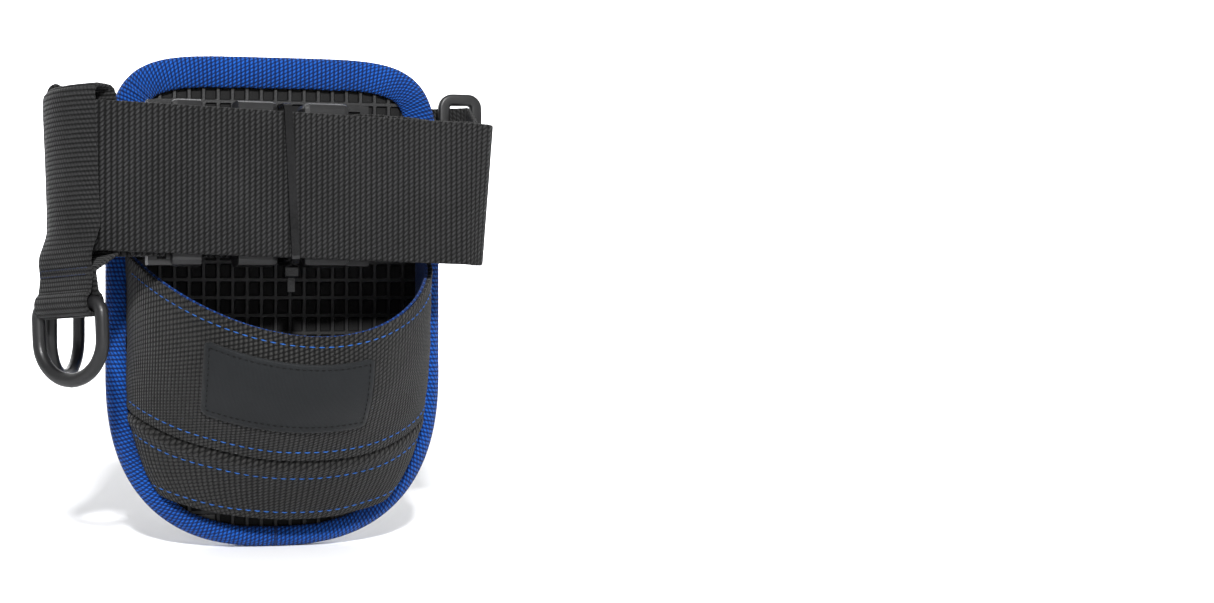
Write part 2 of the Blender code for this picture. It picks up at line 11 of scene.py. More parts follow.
import bmesh
import bpy
from mathutils import Matrix, Vector, noise


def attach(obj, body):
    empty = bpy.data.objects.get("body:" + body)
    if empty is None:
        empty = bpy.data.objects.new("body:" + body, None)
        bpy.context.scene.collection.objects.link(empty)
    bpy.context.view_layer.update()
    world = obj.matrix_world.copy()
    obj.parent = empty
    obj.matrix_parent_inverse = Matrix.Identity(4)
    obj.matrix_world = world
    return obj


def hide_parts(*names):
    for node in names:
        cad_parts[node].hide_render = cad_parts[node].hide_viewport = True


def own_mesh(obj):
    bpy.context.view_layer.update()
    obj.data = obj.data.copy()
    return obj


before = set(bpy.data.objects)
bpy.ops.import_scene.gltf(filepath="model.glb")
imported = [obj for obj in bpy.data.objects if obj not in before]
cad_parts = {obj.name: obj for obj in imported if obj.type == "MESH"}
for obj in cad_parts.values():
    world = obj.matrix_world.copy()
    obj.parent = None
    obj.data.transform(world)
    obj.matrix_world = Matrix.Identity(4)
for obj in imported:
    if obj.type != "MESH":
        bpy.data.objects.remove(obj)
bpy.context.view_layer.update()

MM = 0.001
BACK_RUN_Y, BACK_RUN_Z = 8.7, 140.3     # middle line of the belt's run across the pad's back
WEBBING = 1.6
# Shapes are placed in mm from a point on the floor under the middle of the pad, and the frame's
# origin is on the belt's back face.
ORIGIN = Vector((0, BACK_RUN_Y + WEBBING / 2, BACK_RUN_Z))
FLOOR_Z = -BACK_RUN_Z * MM

# Pad outline
PAD_HALF_WIDTH, PAD_HEIGHT = 63.0, 182.0
PAD_LOWER_CENTRE, PAD_LOWER_POWER = 67.0, 2.5
PAD_UPPER_CENTRE, PAD_UPPER_POWER = 116.0, 5.0
OUTLINE_STEPS = 110                 # points along each quarter

# Cup: depth at the front, height at the front, height at the sides, from the lip down
CUP_ROWS = [(63.5, 79, 108), (64, 70, 95), (59.5, 59, 80), (49, 47, 65), (38, 35.5, 52),
            (28, 22.5, 36), (19.5, 12.5, 21)]
SEAM_ROW = 4
CUP_SKEW = 5.0
CUP_BASE_INSET = 8.0
CUP_BASE_Y = -4.8
CUP_WALL = 1.4                      # thickness of its bands
NET_ROW, NET_REACH = 5.93, 78       # the net's outer edge: row, and degrees to each side
MAT_FRONT, MAT_HOLLOW = -3.0, 0.9
MAT_PITCH = (5.4, 6.6)              # across and up
LABEL_SPAN = (-40, 20)              # degrees round the cup
LABEL_ROWS = (1.0, 3.0)
LABEL_SIZE = (58.0, 23.0)           # roughly: only for its rounded corners and its weave

# Back cover: how far in from the pad's edge its rings of points are, then how far from its
# middle, as a share of the last ring
BACK_RINGS = (4, 7, 10, 12, 13.5, 15, 16, 17, 18, 19, 20, 21, 22, 23, 24.5, 26)
BACK_CROWN = (0.9, 0.78, 0.64, 0.5, 0.36, 0.22, 0.1, 0.02)
BACK_MIDDLE_Z = 100
BACK_EDGE_Y, BACK_LOW_Y, BACK_RISE, BACK_TOP_Y = 1.4, 2.9, 4.6, 7.5

# Belt
BELT_WIDTH = 50.0
BUNDLE_ORIGIN = (0.0, -46.7)
BUNDLE_ANGLE = math.radians(4.9)
BEHIND_BUCKLE = 15.5
STRAND_FRONT, STRAND_BACK = 3.2, 11.2
SOCKET_LEFT, PLUG_RIGHT = -44.0, 19.6
EYE_OFFSET = 2.2                    # from the plug's end to the middle of its webbing loop
EYE_RADIUS = 1.3
BUCKLE_Z = 131.5                    # middle of the belt's width at the buckle
FOLD_U, FOLD_W = 72.5, 7.0          # outermost fold at the right, and the strand that ends in it
RETURN_END = 68.4
BACK_RUN_LEFT, BACK_RUN_RIGHT = -60.5, 65.5

# Strap rings and hanging loops
RING_HEIGHT, RING_WIDTH, RING_BAR, RING_THICKNESS = 60.5, 17.0, 4.5, 3.4
HANGER_WIDTH, HANGER_WEBBING = 25.0, 1.4
RING_CORNER, RING_SOFTNESS = 5.5, 1.1
D_WIRE, D_INNER_WIDTH, D_HEIGHT, D_BAR_Z = 2.3, 26.5, 30.0, 90.0
D_CORNER = 4.2
HANGER_EYE = 3.3
WAIST_Z = 101.0                     # where a hanging loop's two layers meet

RIB = 1.98                          # pitch of the belt's ribs
FINE_RIB = 1.58                     # pitch of the hanging loops' ribs

QUARTER_TURN = math.pi / 2
QUADRANTS = ((1, 1), (-1, 1), (-1, -1), (1, -1))
UP = Vector((0, 0, 1))


# -------------------- nodes

class Nodes:
    """A material's node tree, with short names for the maths in it."""

    def __init__(self, name):
        self.material = bpy.data.materials.new(name)
        self.material.use_nodes = True
        self.tree = self.material.node_tree
        self.shader = self.tree.nodes["Principled BSDF"]

    def new(self, kind, **settings):
        node = self.tree.nodes.new(kind)
        for key, value in settings.items():
            setattr(node, key, value)
        return node

    def plug(self, value, socket):
        if isinstance(value, bpy.types.NodeSocket):
            self.tree.links.new(value, socket)
        else:
            socket.default_value = value

    def maths(self, operation, *values):
        node = self.new("ShaderNodeMath", operation=operation)
        for value, socket in zip(values, node.inputs):
            self.plug(value, socket)
        return node.outputs[0]

    def add(self, a, b):
        return self.maths("ADD", a, b)

    def times(self, a, b):
        return self.maths("MULTIPLY", a, b)

    def cloth(self):
        """Millimetres along and across the cloth, from the mesh's own layer."""
        split = self.new("ShaderNodeSeparateXYZ")
        self.plug(self.new("ShaderNodeUVMap", uv_map="weave").outputs[0], split.inputs[0])
        return split.outputs[0], split.outputs[1]

    def position(self):
        """The object's own coordinates, in metres."""
        return self.new("ShaderNodeTexCoord").outputs["Object"]

    def noise(self, scale, detail=2.0, at=None):
        node = self.new("ShaderNodeTexNoise")
        self.plug(at or self.position(), node.inputs["Vector"])
        node.inputs["Scale"].default_value = scale
        node.inputs["Detail"].default_value = detail
        return node.outputs["Fac"]

    def ramp(self, value, low, high, dark, light):
        """Colour from dark, where value is low, to light, where it is high."""
        mix = self.new("ShaderNodeMix", data_type="RGBA")
        self.plug(self.between(value, low, high, 0, 1), mix.inputs[0])
        mix.inputs[6].default_value = (*dark, 1)
        mix.inputs[7].default_value = (*light, 1)
        return mix.outputs[2]

    def between(self, value, low, high, start, end):
        """From start, where value is low, to end, where it is high."""
        reach = self.new("ShaderNodeMapRange", clamp=True)
        for v, socket in zip((value, low, high, start, end), reach.inputs):
            self.plug(v, socket)
        return reach.outputs[0]

    def surface(self, colour, roughness, height=None, depth=0.0003, **constants):
        self.plug(colour, self.shader.inputs["Base Color"])
        self.plug(roughness, self.shader.inputs["Roughness"])
        if height is not None:
            bump = self.new("ShaderNodeBump")
            bump.inputs["Distance"].default_value = depth
            self.plug(height, bump.inputs["Height"])
            self.plug(bump.outputs[0], self.shader.inputs["Normal"])
        for key, value in constants.items():
            self.shader.inputs[key].default_value = value
        return self.material


def yarn_height(nodes, pitch_along, pitch_across, slant, body):
    """Rows of twisted yarns: 1 on top of a yarn, 0 between yarns. Neighbouring ribs are set off
    by half a yarn. body is how far the yarns of one rib run together."""
    u, v = nodes.cloth()
    column = nodes.maths("DIVIDE", u, pitch_along)
    inside = nodes.add(nodes.maths("FRACT", column), -0.5)
    stagger = nodes.times(nodes.maths("FLOOR", column), 0.5)
    along = nodes.add(nodes.maths("DIVIDE", v, pitch_across),
                      nodes.add(stagger, nodes.times(inside, slant)))
    piece = nodes.add(nodes.maths("FRACT", along), -0.5)
    round_rib = nodes.maths("COSINE", nodes.times(inside, math.pi))
    round_yarn = nodes.maths("COSINE", nodes.times(piece, math.pi))
    yarn = nodes.add(nodes.times(nodes.maths("POWER", round_yarn, 0.7), 1 - body), body)
    return nodes.times(nodes.maths("POWER", round_rib, 0.8), yarn)


def woven(name, dark, light, pitch_along, pitch_across, slant=0.9, body=0.25, depth=0.5 * MM,
          rough=0.62, sheen=0.06):
    """Webbing: ribs across the strap, each a row of slanting yarns. Its colour carries painted
    shade between the yarns and painted highlight on their tops.
    """
    nodes = Nodes(name)
    height = yarn_height(nodes, pitch_along, pitch_across, slant, body)
    fuzz = nodes.noise(2600, 3)
    worn = nodes.noise(45, 2)
    # Painted shade and highlight: the yarn height makes the colour dark between the yarns and
    # lighter on their tops; fuzz and worn add random tone.
    painted_light_and_tone = nodes.add(height, nodes.add(nodes.times(nodes.add(fuzz, -0.5), 0.5),
                                        nodes.times(nodes.add(worn, -0.5), 0.35)))
    colour = nodes.ramp(painted_light_and_tone, 0.3, 1.0, dark, light)
    roughness = nodes.between(height, 0, 1, rough + 0.25, rough)
    bumps = nodes.add(height, nodes.times(fuzz, 0.22))
    return nodes.surface(colour, roughness, bumps, depth, **{
        "Sheen Weight": sheen, "Sheen Roughness": 0.5, "Specular IOR Level": 0.14})


def grained_leather(name):
    """Leatherette: upright cells of two sizes, dark, with painted highlight along the creases
    between them.
    """
    nodes = Nodes(name)
    at = nodes.position()
    warp = nodes.new("ShaderNodeVectorMath", operation="MULTIPLY_ADD")
    wobble = nodes.new("ShaderNodeTexNoise")
    nodes.plug(at, wobble.inputs["Vector"])
    wobble.inputs["Scale"].default_value = 260
    nodes.plug(wobble.outputs["Color"], warp.inputs[0])
    warp.inputs[1].default_value = (1.4 * MM, 1.4 * MM, 1.4 * MM)
    nodes.plug(at, warp.inputs[2])

    tall = nodes.new("ShaderNodeVectorMath", operation="MULTIPLY")
    nodes.plug(warp.outputs[0], tall.inputs[0])
    tall.inputs[1].default_value = (1, 1, 0.5)

    def cells(scale):
        node = nodes.new("ShaderNodeTexVoronoi", feature="DISTANCE_TO_EDGE")
        nodes.plug(tall.outputs[0], node.inputs["Vector"])
        node.inputs["Scale"].default_value = scale
        return nodes.between(node.outputs["Distance"], 0.0, 0.22, 0.0, 1.0)

    big, small = cells(620), cells(1500)
    stretched = nodes.noise(60, 3)
    height = nodes.add(nodes.times(big, 0.75), nodes.add(nodes.times(small, 0.25),
                                                         nodes.times(stretched, 0.5)))
    # Painted highlight: the colour is pale grey at the cells' edges, along the creases, and dark
    # brown inside the cells.
    painted_light_and_tone = nodes.add(nodes.times(big, 0.8), nodes.times(stretched, 0.3))
    colour = nodes.ramp(painted_light_and_tone, 0.1, 0.9, (0.046, 0.043, 0.040), (0.0115, 0.0092, 0.0075))
    roughness = nodes.between(nodes.add(big, nodes.times(stretched, 0.4)), 0, 1.2, 0.60, 0.36)
    return nodes.surface(colour, roughness, height, 0.22 * MM, **{"Specular IOR Level": 0.4})


def moulded(name, colour, roughness, grain, depth, shine=0.5):
    """Plastic or rubber: a fine moulded grain with broad changes of gloss."""
    nodes = Nodes(name)
    fine, broad = nodes.noise(grain, 4), nodes.noise(70, 2)
    base = nodes.ramp(broad, 0.3, 0.7, [c * 0.82 for c in colour], [c * 1.18 for c in colour])
    rough = nodes.between(nodes.add(nodes.times(fine, 0.5), nodes.times(broad, 0.5)), 0.3, 0.7,
                          roughness - 0.07, roughness + 0.07)
    return nodes.surface(base, rough, fine, depth, **{"Specular IOR Level": shine})


def ribbed_rubber(name):
    """The mat: its ribs are polished by wear, and its hollows are dull, with painted shade
    darkening them.
    """
    nodes = Nodes(name)
    split = nodes.new("ShaderNodeSeparateXYZ")
    nodes.plug(nodes.position(), split.inputs[0])
    front = (MAT_FRONT - ORIGIN.y) * MM
    raised = nodes.between(split.outputs[1], front + MAT_HOLLOW * MM, front, 0, 1)
    fine = nodes.noise(1800, 4)
    # Painted shade: the colour is ten times darker in the hollows than on the ribs.
    colour = nodes.ramp(nodes.add(raised, nodes.times(nodes.add(fine, -0.5), 0.4)), 0.1, 1.0,
                        (0.0012, 0.0012, 0.0013), (0.012, 0.012, 0.0125))
    return nodes.surface(colour, nodes.between(raised, 0, 1, 0.75, 0.42), fine, 0.08 * MM,
                         **{"Specular IOR Level": 0.25})


def make_materials():
    # In each woven material the first colour is painted shade between the yarns and the second is
    # painted highlight on the yarn tops.
    return {
        "belt": woven("belt webbing", (0.0006, 0.0006, 0.0006), (0.024, 0.024, 0.0245), RIB, 1.6,
                      slant=1.1, body=0.1),
        "hanger": woven("loop webbing", (0.001, 0.001, 0.001), (0.018, 0.018, 0.0185),
                        FINE_RIB, 1.1, slant=0.5, body=0.55),
        "cup": woven("cup cloth", (0.0006, 0.0006, 0.0006), (0.025, 0.0245, 0.024), 1.7, 1.45,
                     slant=0.5, body=0.05),
        "cup_low": woven("lower cup cloth", (0.0006, 0.0006, 0.0006), (0.024, 0.0235, 0.023),
                         RIB, 1.5, slant=0.8, body=0.1),
        "blue": woven("blue binding", (0.0007, 0.010, 0.065), (0.004, 0.080, 0.390), 1.6, 1.45,
                      slant=0.7, body=0.12, rough=0.6, sheen=0.05),
        "lining": woven("blue lining", (0.0005, 0.006, 0.045), (0.003, 0.055, 0.27), 1.3, 1.3,
                        slant=0.4, body=0.3, depth=0.3 * MM),
        "label": woven("label weave", (0.006, 0.0068, 0.0076), (0.011, 0.0122, 0.0135), 0.42, 0.42,
                       slant=0.0, body=0.5, depth=0.06 * MM, rough=0.5, sheen=0.03),
        "leather": grained_leather("leatherette"),
        "plastic": moulded("moulded plastic", (0.009, 0.009, 0.0095), 0.38, 1500, 0.05 * MM,
                           shine=0.32),
        "tie": moulded("tie plastic", (0.003, 0.003, 0.0033), 0.22, 900, 0.02 * MM, shine=0.4),
        "rubber": moulded("net rubber", (0.006, 0.006, 0.0065), 0.42, 1800, 0.08 * MM, shine=0.3),
        "mat": ribbed_rubber("mat rubber"),
        "board": moulded("board", (0.10, 0.10, 0.10), 0.55, 800, 0.05 * MM),
        "foam": moulded("foam", (0.25, 0.25, 0.25), 0.85, 1400, 0.3 * MM),
        "thread_blue": moulded("blue thread", (0.012, 0.085, 0.33), 0.6, 3000, 0.05 * MM,
                               shine=0.2),
        "thread_black": moulded("black thread", (0.002, 0.002, 0.002), 0.6, 3000, 0.05 * MM,
                                shine=0.15),
        "thread_grey": moulded("grey thread", (0.018, 0.022, 0.036), 0.7, 3000, 0.05 * MM,
                               shine=0.15),
    }


# -------------------- mesh helpers

def smooth_step(value, low, high):
    share = min(1.0, max(0.0, (value - low) / (high - low)))
    return share * share * (3 - 2 * share)


def steps(low, high, count):
    return [low + (high - low) * i / count for i in range(count + 1)]


def arc(x, z, radius, start, turn, count):
    """Points round (x, z), from the angle start and on by turn, in radians."""
    return [(x + radius * math.cos(a), z + radius * math.sin(a))
            for a in steps(start, start + turn, count)]


def make_piece(name, verts, faces, material, uv=None, body="pad", nodes=()):
    """A mesh in millimetres, made into a piece of the object. uv gives each vertex its place on
    the cloth, in millimetres."""
    mesh = bpy.data.meshes.new(name)
    mesh.from_pydata([(v - ORIGIN) * MM for v in verts], [], faces)
    if uv:
        layer = mesh.uv_layers.new(name="weave")
        for loop in mesh.loops:
            layer.data[loop.index].uv = uv[loop.vertex_index]
    bm = bmesh.new()
    bm.from_mesh(mesh)
    bmesh.ops.recalc_face_normals(bm, faces=bm.faces)
    bm.to_mesh(mesh)
    bm.free()
    mesh.polygons.foreach_set("use_smooth", [True] * len(mesh.polygons))
    obj = bpy.data.objects.new(name, mesh)
    bpy.context.scene.collection.objects.link(obj)
    mesh.materials.append(MATERIALS[material])
    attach(obj, body)
    if nodes:
        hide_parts(*nodes)
    return obj


def grid_faces(rows, columns, wrap=False, close=False):
    """Faces of a grid of points stored row by row. wrap joins the last column to the first, and
    close joins the last row to the first."""
    across = columns if wrap else columns - 1
    down = rows if close else rows - 1
    return [
        (r * columns + c, r * columns + (c + 1) % columns,
         (r + 1) % rows * columns + (c + 1) % columns, (r + 1) % rows * columns + c)
        for r in range(down) for c in range(across)
    ]


def thicken(obj, thickness, offset):
    """offset is 0 for cloth to both sides of the mesh, and 1 or -1 for one side only."""
    modifier = obj.modifiers.new("Thickness", "SOLIDIFY")
    modifier.thickness = thickness * MM
    modifier.offset = offset
    modifier.use_even_offset = True


def lengths_along(points):
    """Distance of each point from the first, along the polyline."""
    total = [0.0]
    for a, b in zip(points, points[1:]):
        total.append(total[-1] + (b - a).length)
    return total


def resample(points, step):
    """Points every step along a polyline of Vectors, ends kept."""
    at = lengths_along(points)
    count = max(2, round(at[-1] / step))
    found, i = [], 0
    for k in range(count + 1):
        want = at[-1] * k / count
        while i < len(points) - 2 and at[i + 1] < want:
            i += 1
        span = at[i + 1] - at[i]
        found.append(points[i].lerp(points[i + 1], (want - at[i]) / span if span else 0))
    return found


def strap_section(width, thickness):
    """Half-rounded strip: (across, out) points, anticlockwise."""
    half, deep = width / 2, thickness / 2
    flat = [-1.0, -0.6, -0.2, 0.2, 0.6, 1.0]
    top = [(f * (half - deep), deep) for f in flat]
    left = [(-half + deep - deep * math.sin(a), deep * math.cos(a))
            for a in (math.pi / 4, math.pi / 2, 3 * math.pi / 4)]
    bottom = [(-x, -y) for x, y in top]
    right = [(-x, -y) for x, y in left]
    return top[::-1] + left + bottom[::-1] + right


def strap(name, path, side, width, thickness, material, rib, body="pad", nodes=(), closed=False,
          shape=None):
    """Webbing swept along path (Vectors, mm), with its width along side. The ribs show in its
    outline. shape moves a finished point, given its place across."""
    section = strap_section(width, thickness)
    at = lengths_along(path)
    verts, uv = [], []
    for i, (point, run) in enumerate(zip(path, at)):
        before = path[i - 1] if i or closed else point
        after = path[(i + 1) % len(path)] if i < len(path) - 1 or closed else point
        out = (after - before).normalized().cross(side).normalized()
        swell = math.cos(2 * math.pi * run / rib)
        for x, y in section:
            edge = 0.22 * swell if abs(x) > width / 2 - thickness else 0.0
            relief = 1 + 0.10 * swell
            place = point + side * (x + math.copysign(edge, x)) + out * (y * relief)
            verts.append(shape(place, x) if shape else place)
            uv.append((run + rib / 2, x + (0 if y > 0 else 0.7)))
    count = len(section)
    faces = grid_faces(len(path), count, wrap=True, close=closed)
    if not closed:
        faces += [tuple(range(count)), tuple((len(path) - 1) * count + c for c in range(count))]
    return make_piece(name, verts, faces, material, uv, body, nodes)


def stitch_row(name, points, outwards, material, pitch=3.3, length=2.0, radius=0.2):
    """Thread showing as dashes along points (Vectors, mm), lying on the surface. outwards holds
    the surface's normal at each point."""
    at = lengths_along(points)
    verts, faces = [], []
    sides, rings = 6, 5

    def along(distance):
        for i in range(len(points) - 1):
            if at[i + 1] >= distance or i == len(points) - 2:
                share = (distance - at[i]) / max(1e-6, at[i + 1] - at[i])
                return (points[i].lerp(points[i + 1], share),
                        outwards[i].lerp(outwards[i + 1], share))

    for k in range(int((at[-1] - length) / pitch) + 1):
        base = len(verts)
        for r in range(rings):
            share = r / (rings - 1)
            point, out = along(k * pitch + length * share)
            ahead, _ = along(min(at[-1], k * pitch + length * share + 0.2))
            behind, _ = along(max(0.0, k * pitch + length * share - 0.2))
            way = (ahead - behind).normalized()
            side = way.cross(out).normalized()
            arch = math.sin(math.pi * share)
            centre = point + out * (radius * (0.9 * arch - 0.35))
            thick = radius * (0.45 + 0.55 * arch)
            for s in range(sides):
                turn = 2 * math.pi * s / sides
                verts.append(centre + (side * math.cos(turn) + out * math.sin(turn)) * thick)
        for r in range(rings - 1):
            for s in range(sides):
                n = (s + 1) % sides
                faces.append((base + r * sides + s, base + r * sides + n,
                              base + (r + 1) * sides + n, base + (r + 1) * sides + s))
        faces.append(tuple(base + s for s in range(sides)))
        faces.append(tuple(base + (rings - 1) * sides + s for s in range(sides)))
    return make_piece(name, verts, faces, material)


# -------------------- pad

def edge_width(z):
    """Half the pad's width at height z, in mm."""
    if z < PAD_LOWER_CENTRE:
        rise, reach, power = PAD_LOWER_CENTRE - z, PAD_LOWER_CENTRE, PAD_LOWER_POWER
    elif z > PAD_UPPER_CENTRE:
        rise, reach, power = z - PAD_UPPER_CENTRE, PAD_HEIGHT - PAD_UPPER_CENTRE, PAD_UPPER_POWER
    else:
        return PAD_HALF_WIDTH
    return PAD_HALF_WIDTH * max(0.0, 1 - (rise / reach) ** power) ** (1 / power)


def superellipse(power, reach, centre, side):
    """(x, z) from the pad's right edge at height centre to its middle, up or down as side is 1
    or -1."""
    points = []
    for angle in steps(0, QUARTER_TURN, OUTLINE_STEPS):
        points.append((PAD_HALF_WIDTH * math.cos(angle) ** (2 / power),
                       centre + side * reach * math.sin(angle) ** (2 / power)))
    return points


def pad_outline(step=1.2):
    """The pad's edge, evenly spaced, anticlockwise seen from the front, from the bottom middle,
    with each point's inward normal."""
    lower = superellipse(PAD_LOWER_POWER, PAD_LOWER_CENTRE, PAD_LOWER_CENTRE, -1)
    upper = superellipse(PAD_UPPER_POWER, PAD_HEIGHT - PAD_UPPER_CENTRE, PAD_UPPER_CENTRE, 1)
    right = lower[::-1] + upper
    corners = right + [(-x, z) for x, z in right[-2::-1]]
    points = resample([Vector((x, 0, z)) for x, z in corners], step)[:-1]
    count = len(points)
    normals = []
    for i in range(count):
        along = (points[(i + 2) % count] - points[i - 2]).normalized()
        normals.append(Vector((-along.z, 0, along.x)))
    return points, normals


def make_binding():
    """Blue webbing folded round the edge. Over the cup its front flap is narrower and fuller,
    because the cup's cloth is sewn under it, and at the top corners it is pleated."""
    points, normals = pad_outline()
    perimeter = lengths_along(points + points[:1])
    verts, uv = [], []
    for point, inward, run in zip(points, normals, perimeter):
        beside_cup = 1 - smooth_step(point.z, 96, 118)
        wander = 0.45 * noise.noise(Vector((run * 0.09, 3.1, 0)))
        front_width = 12.0 - 4.4 * beside_cup + wander
        back_width = 12.0 + 0.5 * noise.noise(Vector((run * 0.07, 8.4, 0)))
        lift = 0.7 * beside_cup
        corner = math.exp(-((abs(point.x) - 56.5) / 3.0) ** 2) * smooth_step(point.z, 160, 166)
        pleat = 0.9 * corner * (1 if (run * 0.55) % 2 < 1 else -0.4)
        puff = 0.25 * noise.noise(Vector((run * 0.16, 0, 5.0)))
        outer = [(front_width, -3.4), (front_width - 0.1, -4.2 - lift),
                 (front_width - 0.9, -4.75 - lift - 0.5 * pleat),
                 (front_width * 0.6, -5.15 - lift - puff - pleat),
                 (front_width * 0.3, -5.0 - lift * 0.7 - puff - pleat),
                 (1.4, -4.5), (0.45, -3.6), (0.1, -2.3), (0, -0.6), (0, 0.9), (0.1, 2.3),
                 (0.5, 3.6), (1.5, 4.5), (3.6, 4.95), (7.0, 5.0 + puff), (back_width - 0.9, 4.6),
                 (back_width - 0.1, 4.2), (back_width, 3.4)]
        inner = [(9.5, 3.2), (2.2, 3.2), (1.4, 1.2), (1.4, -1.2), (2.2, -3.2), (7.0, -3.2)]
        section = [Vector(corner) for corner in outer + inner]
        verts += [point + inward * d + Vector((0, y, 0)) for d, y in section]
        uv += [(run, across) for across in lengths_along(section)]
    faces = grid_faces(len(points), len(verts) // len(points), wrap=True, close=True)
    obj = make_piece("binding", verts, faces, "blue", uv, nodes=["edge_binding"])


def make_mat():
    """The rubber mat: square ribs with a hollow in each square."""
    rib, slope = 0.5, 1.0               # from a rib's middle to the ends of its top and its side
    under = 4                           # how far its edge stays inside the pad's

    def stops(low, high, pitch):
        """(place, 0 on a rib or 1 in a hollow) from low to high."""
        found = []
        for i in range(math.floor(low / pitch), math.ceil(high / pitch) + 1):
            found += [(i * pitch - rib, 0), (i * pitch + rib, 0), (i * pitch + slope, 1),
                      (i * pitch + pitch - slope, 1)]
        return found

    columns = stops(-PAD_HALF_WIDTH, PAD_HALF_WIDTH, MAT_PITCH[0])
    rows = stops(0, PAD_HEIGHT, MAT_PITCH[1])
    verts = [Vector((x, MAT_FRONT + MAT_HOLLOW * a * b, z)) for z, a in rows for x, b in columns]
    keep = [abs(v.x) < edge_width(v.z + math.copysign(under, v.z - PAD_HEIGHT / 2)) - under
            for v in verts]
    faces = [f for f in grid_faces(len(rows), len(columns)) if all(keep[i] for i in f)]
    obj = make_piece("waffle_mat", verts, faces, "mat", nodes=["grip_mat"])
    for polygon in obj.data.polygons:
        polygon.use_smooth = False
    bm = bmesh.new()
    bm.from_mesh(obj.data)
    bmesh.ops.delete(bm, geom=[v for v in bm.verts if not v.link_faces], context="VERTS")
    bm.to_mesh(obj.data)
    bm.free()
    thicken(obj, 0.6, -1 if obj.data.polygons[0].normal.y < 0 else 1)


def make_back():
    """Leatherette pressed round the foam: flat crown, soft shoulder, creased margin."""
    points, normals = pad_outline(1.6)
    count = len(points)
    perimeter = lengths_along(points + points[:1])
    verts = []
    for d in BACK_RINGS:
        for point, inward, run in zip(points, normals, perimeter):
            rise = smooth_step(d, 14.5, 24)
            slope = 4 * rise * (1 - rise)
            crease = noise.noise(Vector((run * 0.20, d * 0.05, 1.0))) * 0.9
            crease += noise.noise(Vector((run * 0.55, d * 0.22, 7.0))) * 0.45
            crease += noise.noise(Vector((run * 0.035, d * 0.03, 4.0))) * 1.5
            margin = 1 - smooth_step(d, 18, 26)
            y = BACK_LOW_Y + BACK_RISE * rise + crease * (0.75 * slope + 0.22 * margin)
            if d == BACK_RINGS[0]:
                y = BACK_EDGE_Y
            place = point + inward * (d + 0.9 * slope * crease)
            verts.append(Vector((place.x, min(y, BACK_TOP_Y + 0.05), place.z)))
    ring = verts[-count:]
    centre = Vector((0, 0, BACK_MIDDLE_Z))
    for share in BACK_CROWN:
        for corner in ring:
            place = centre.lerp(corner, share)
            dent = 0.12 * noise.noise(Vector((place.x * 0.05, 0, place.z * 0.05)))
            verts.append(Vector((place.x, BACK_TOP_Y + min(0, dent), place.z)))
    rows = len(BACK_RINGS) + len(BACK_CROWN)
    faces = grid_faces(rows, count, wrap=True)
    faces.append(tuple((rows - 1) * count + c for c in range(count)))
    faces.append(tuple(range(count)))
    obj = make_piece("leather_back", verts, faces, "leather", nodes=["back_cover"])


# -------------------- cup

def cup_row(t):
    """(front depth, front height, side height) t rows below the lip, on a smooth curve."""
    last = len(CUP_ROWS) - 1
    index = max(0, min(int(t), last - 1))
    share = t - index
    p0, p1 = CUP_ROWS[max(index - 1, 0)], CUP_ROWS[index]
    p2, p3 = CUP_ROWS[index + 1], CUP_ROWS[min(index + 2, last)]
    found = []
    for a, b, c, d in zip(p0, p1, p2, p3):
        found.append(0.5 * (2 * b + (c - a) * share + (2 * a - 5 * b + 4 * c - d) * share ** 2
                            + (3 * b - 3 * c + d - a) * share ** 3))
    return found


def cup_middle(t, angle):
    """A point of the wall's middle surface, angle round from the front."""
    depth, front_z, side_z = cup_row(t)
    cosine, sine = abs(math.cos(angle)), math.sin(angle)
    z = side_z + (front_z - side_z) * cosine ** 1.5
    x = (edge_width(side_z) - CUP_BASE_INSET) * sine + CUP_SKEW * cosine ** 2
    y = CUP_BASE_Y - (depth + CUP_BASE_Y) * cosine ** 0.9
    return Vector((x, y, z))


def cup_normal(t, angle):
    step = math.radians(2)
    low, high = max(angle - step, -math.pi / 2), min(angle + step, math.pi / 2)
    across = cup_middle(t, high) - cup_middle(t, low)
    last = len(CUP_ROWS) - 1
    down = cup_middle(min(t + 0.3, last), angle) - cup_middle(max(t - 0.3, 0), angle)
    return down.cross(across).normalized()


def cup_point(t, angle, outset):
    """A point of the cup's wall moved outwards, never behind the pad's face."""
    moved = cup_middle(t, angle) + cup_normal(t, angle) * outset
    moved.y = min(moved.y, CUP_BASE_Y + 0.6)
    return moved


def cup_lengths(t, angles):
    """How far round the wall each angle is, in mm, at row t."""
    run = lengths_along([cup_middle(t, a) for a in angles])
    return [r - run[len(run) // 2] for r in run]


def cup_sheet(name, rows, outset, thickness, material, nodes, angle_step=2.0):
    """A piece of the wall between the first and last of rows. outset is a function of (t,
    angle in degrees)."""
    degrees = [-90 + angle_step * i for i in range(round(180 / angle_step) + 1)]
    angles = [math.radians(d) for d in degrees]
    around = cup_lengths(rows[len(rows) // 2], angles)
    down = lengths_along([cup_middle(t, 0) for t in rows])
    verts, uv = [], []
    for t, v in zip(rows, down):
        for degree, angle, u in zip(degrees, angles, around):
            verts.append(cup_point(t, angle, outset(t, degree)))
            uv.append((u + 200, v))     # 200 only keeps the weave's coordinates positive
    obj = make_piece(name, verts, grid_faces(len(rows), len(angles)), material, uv, nodes=nodes)
    thicken(obj, thickness, 0)
    soften = obj.modifiers.new("Soft edges", "BEVEL")
    soften.width = 0.4 * MM
    soften.segments = 2
    soften.limit_method = "ANGLE"
    soften.angle_limit = math.radians(50)
    return obj


def ripple(t, degree, size):
    """Soft unevenness of the wall."""
    return size * noise.noise(Vector((degree * 0.045, t * 1.1, 2.0)))


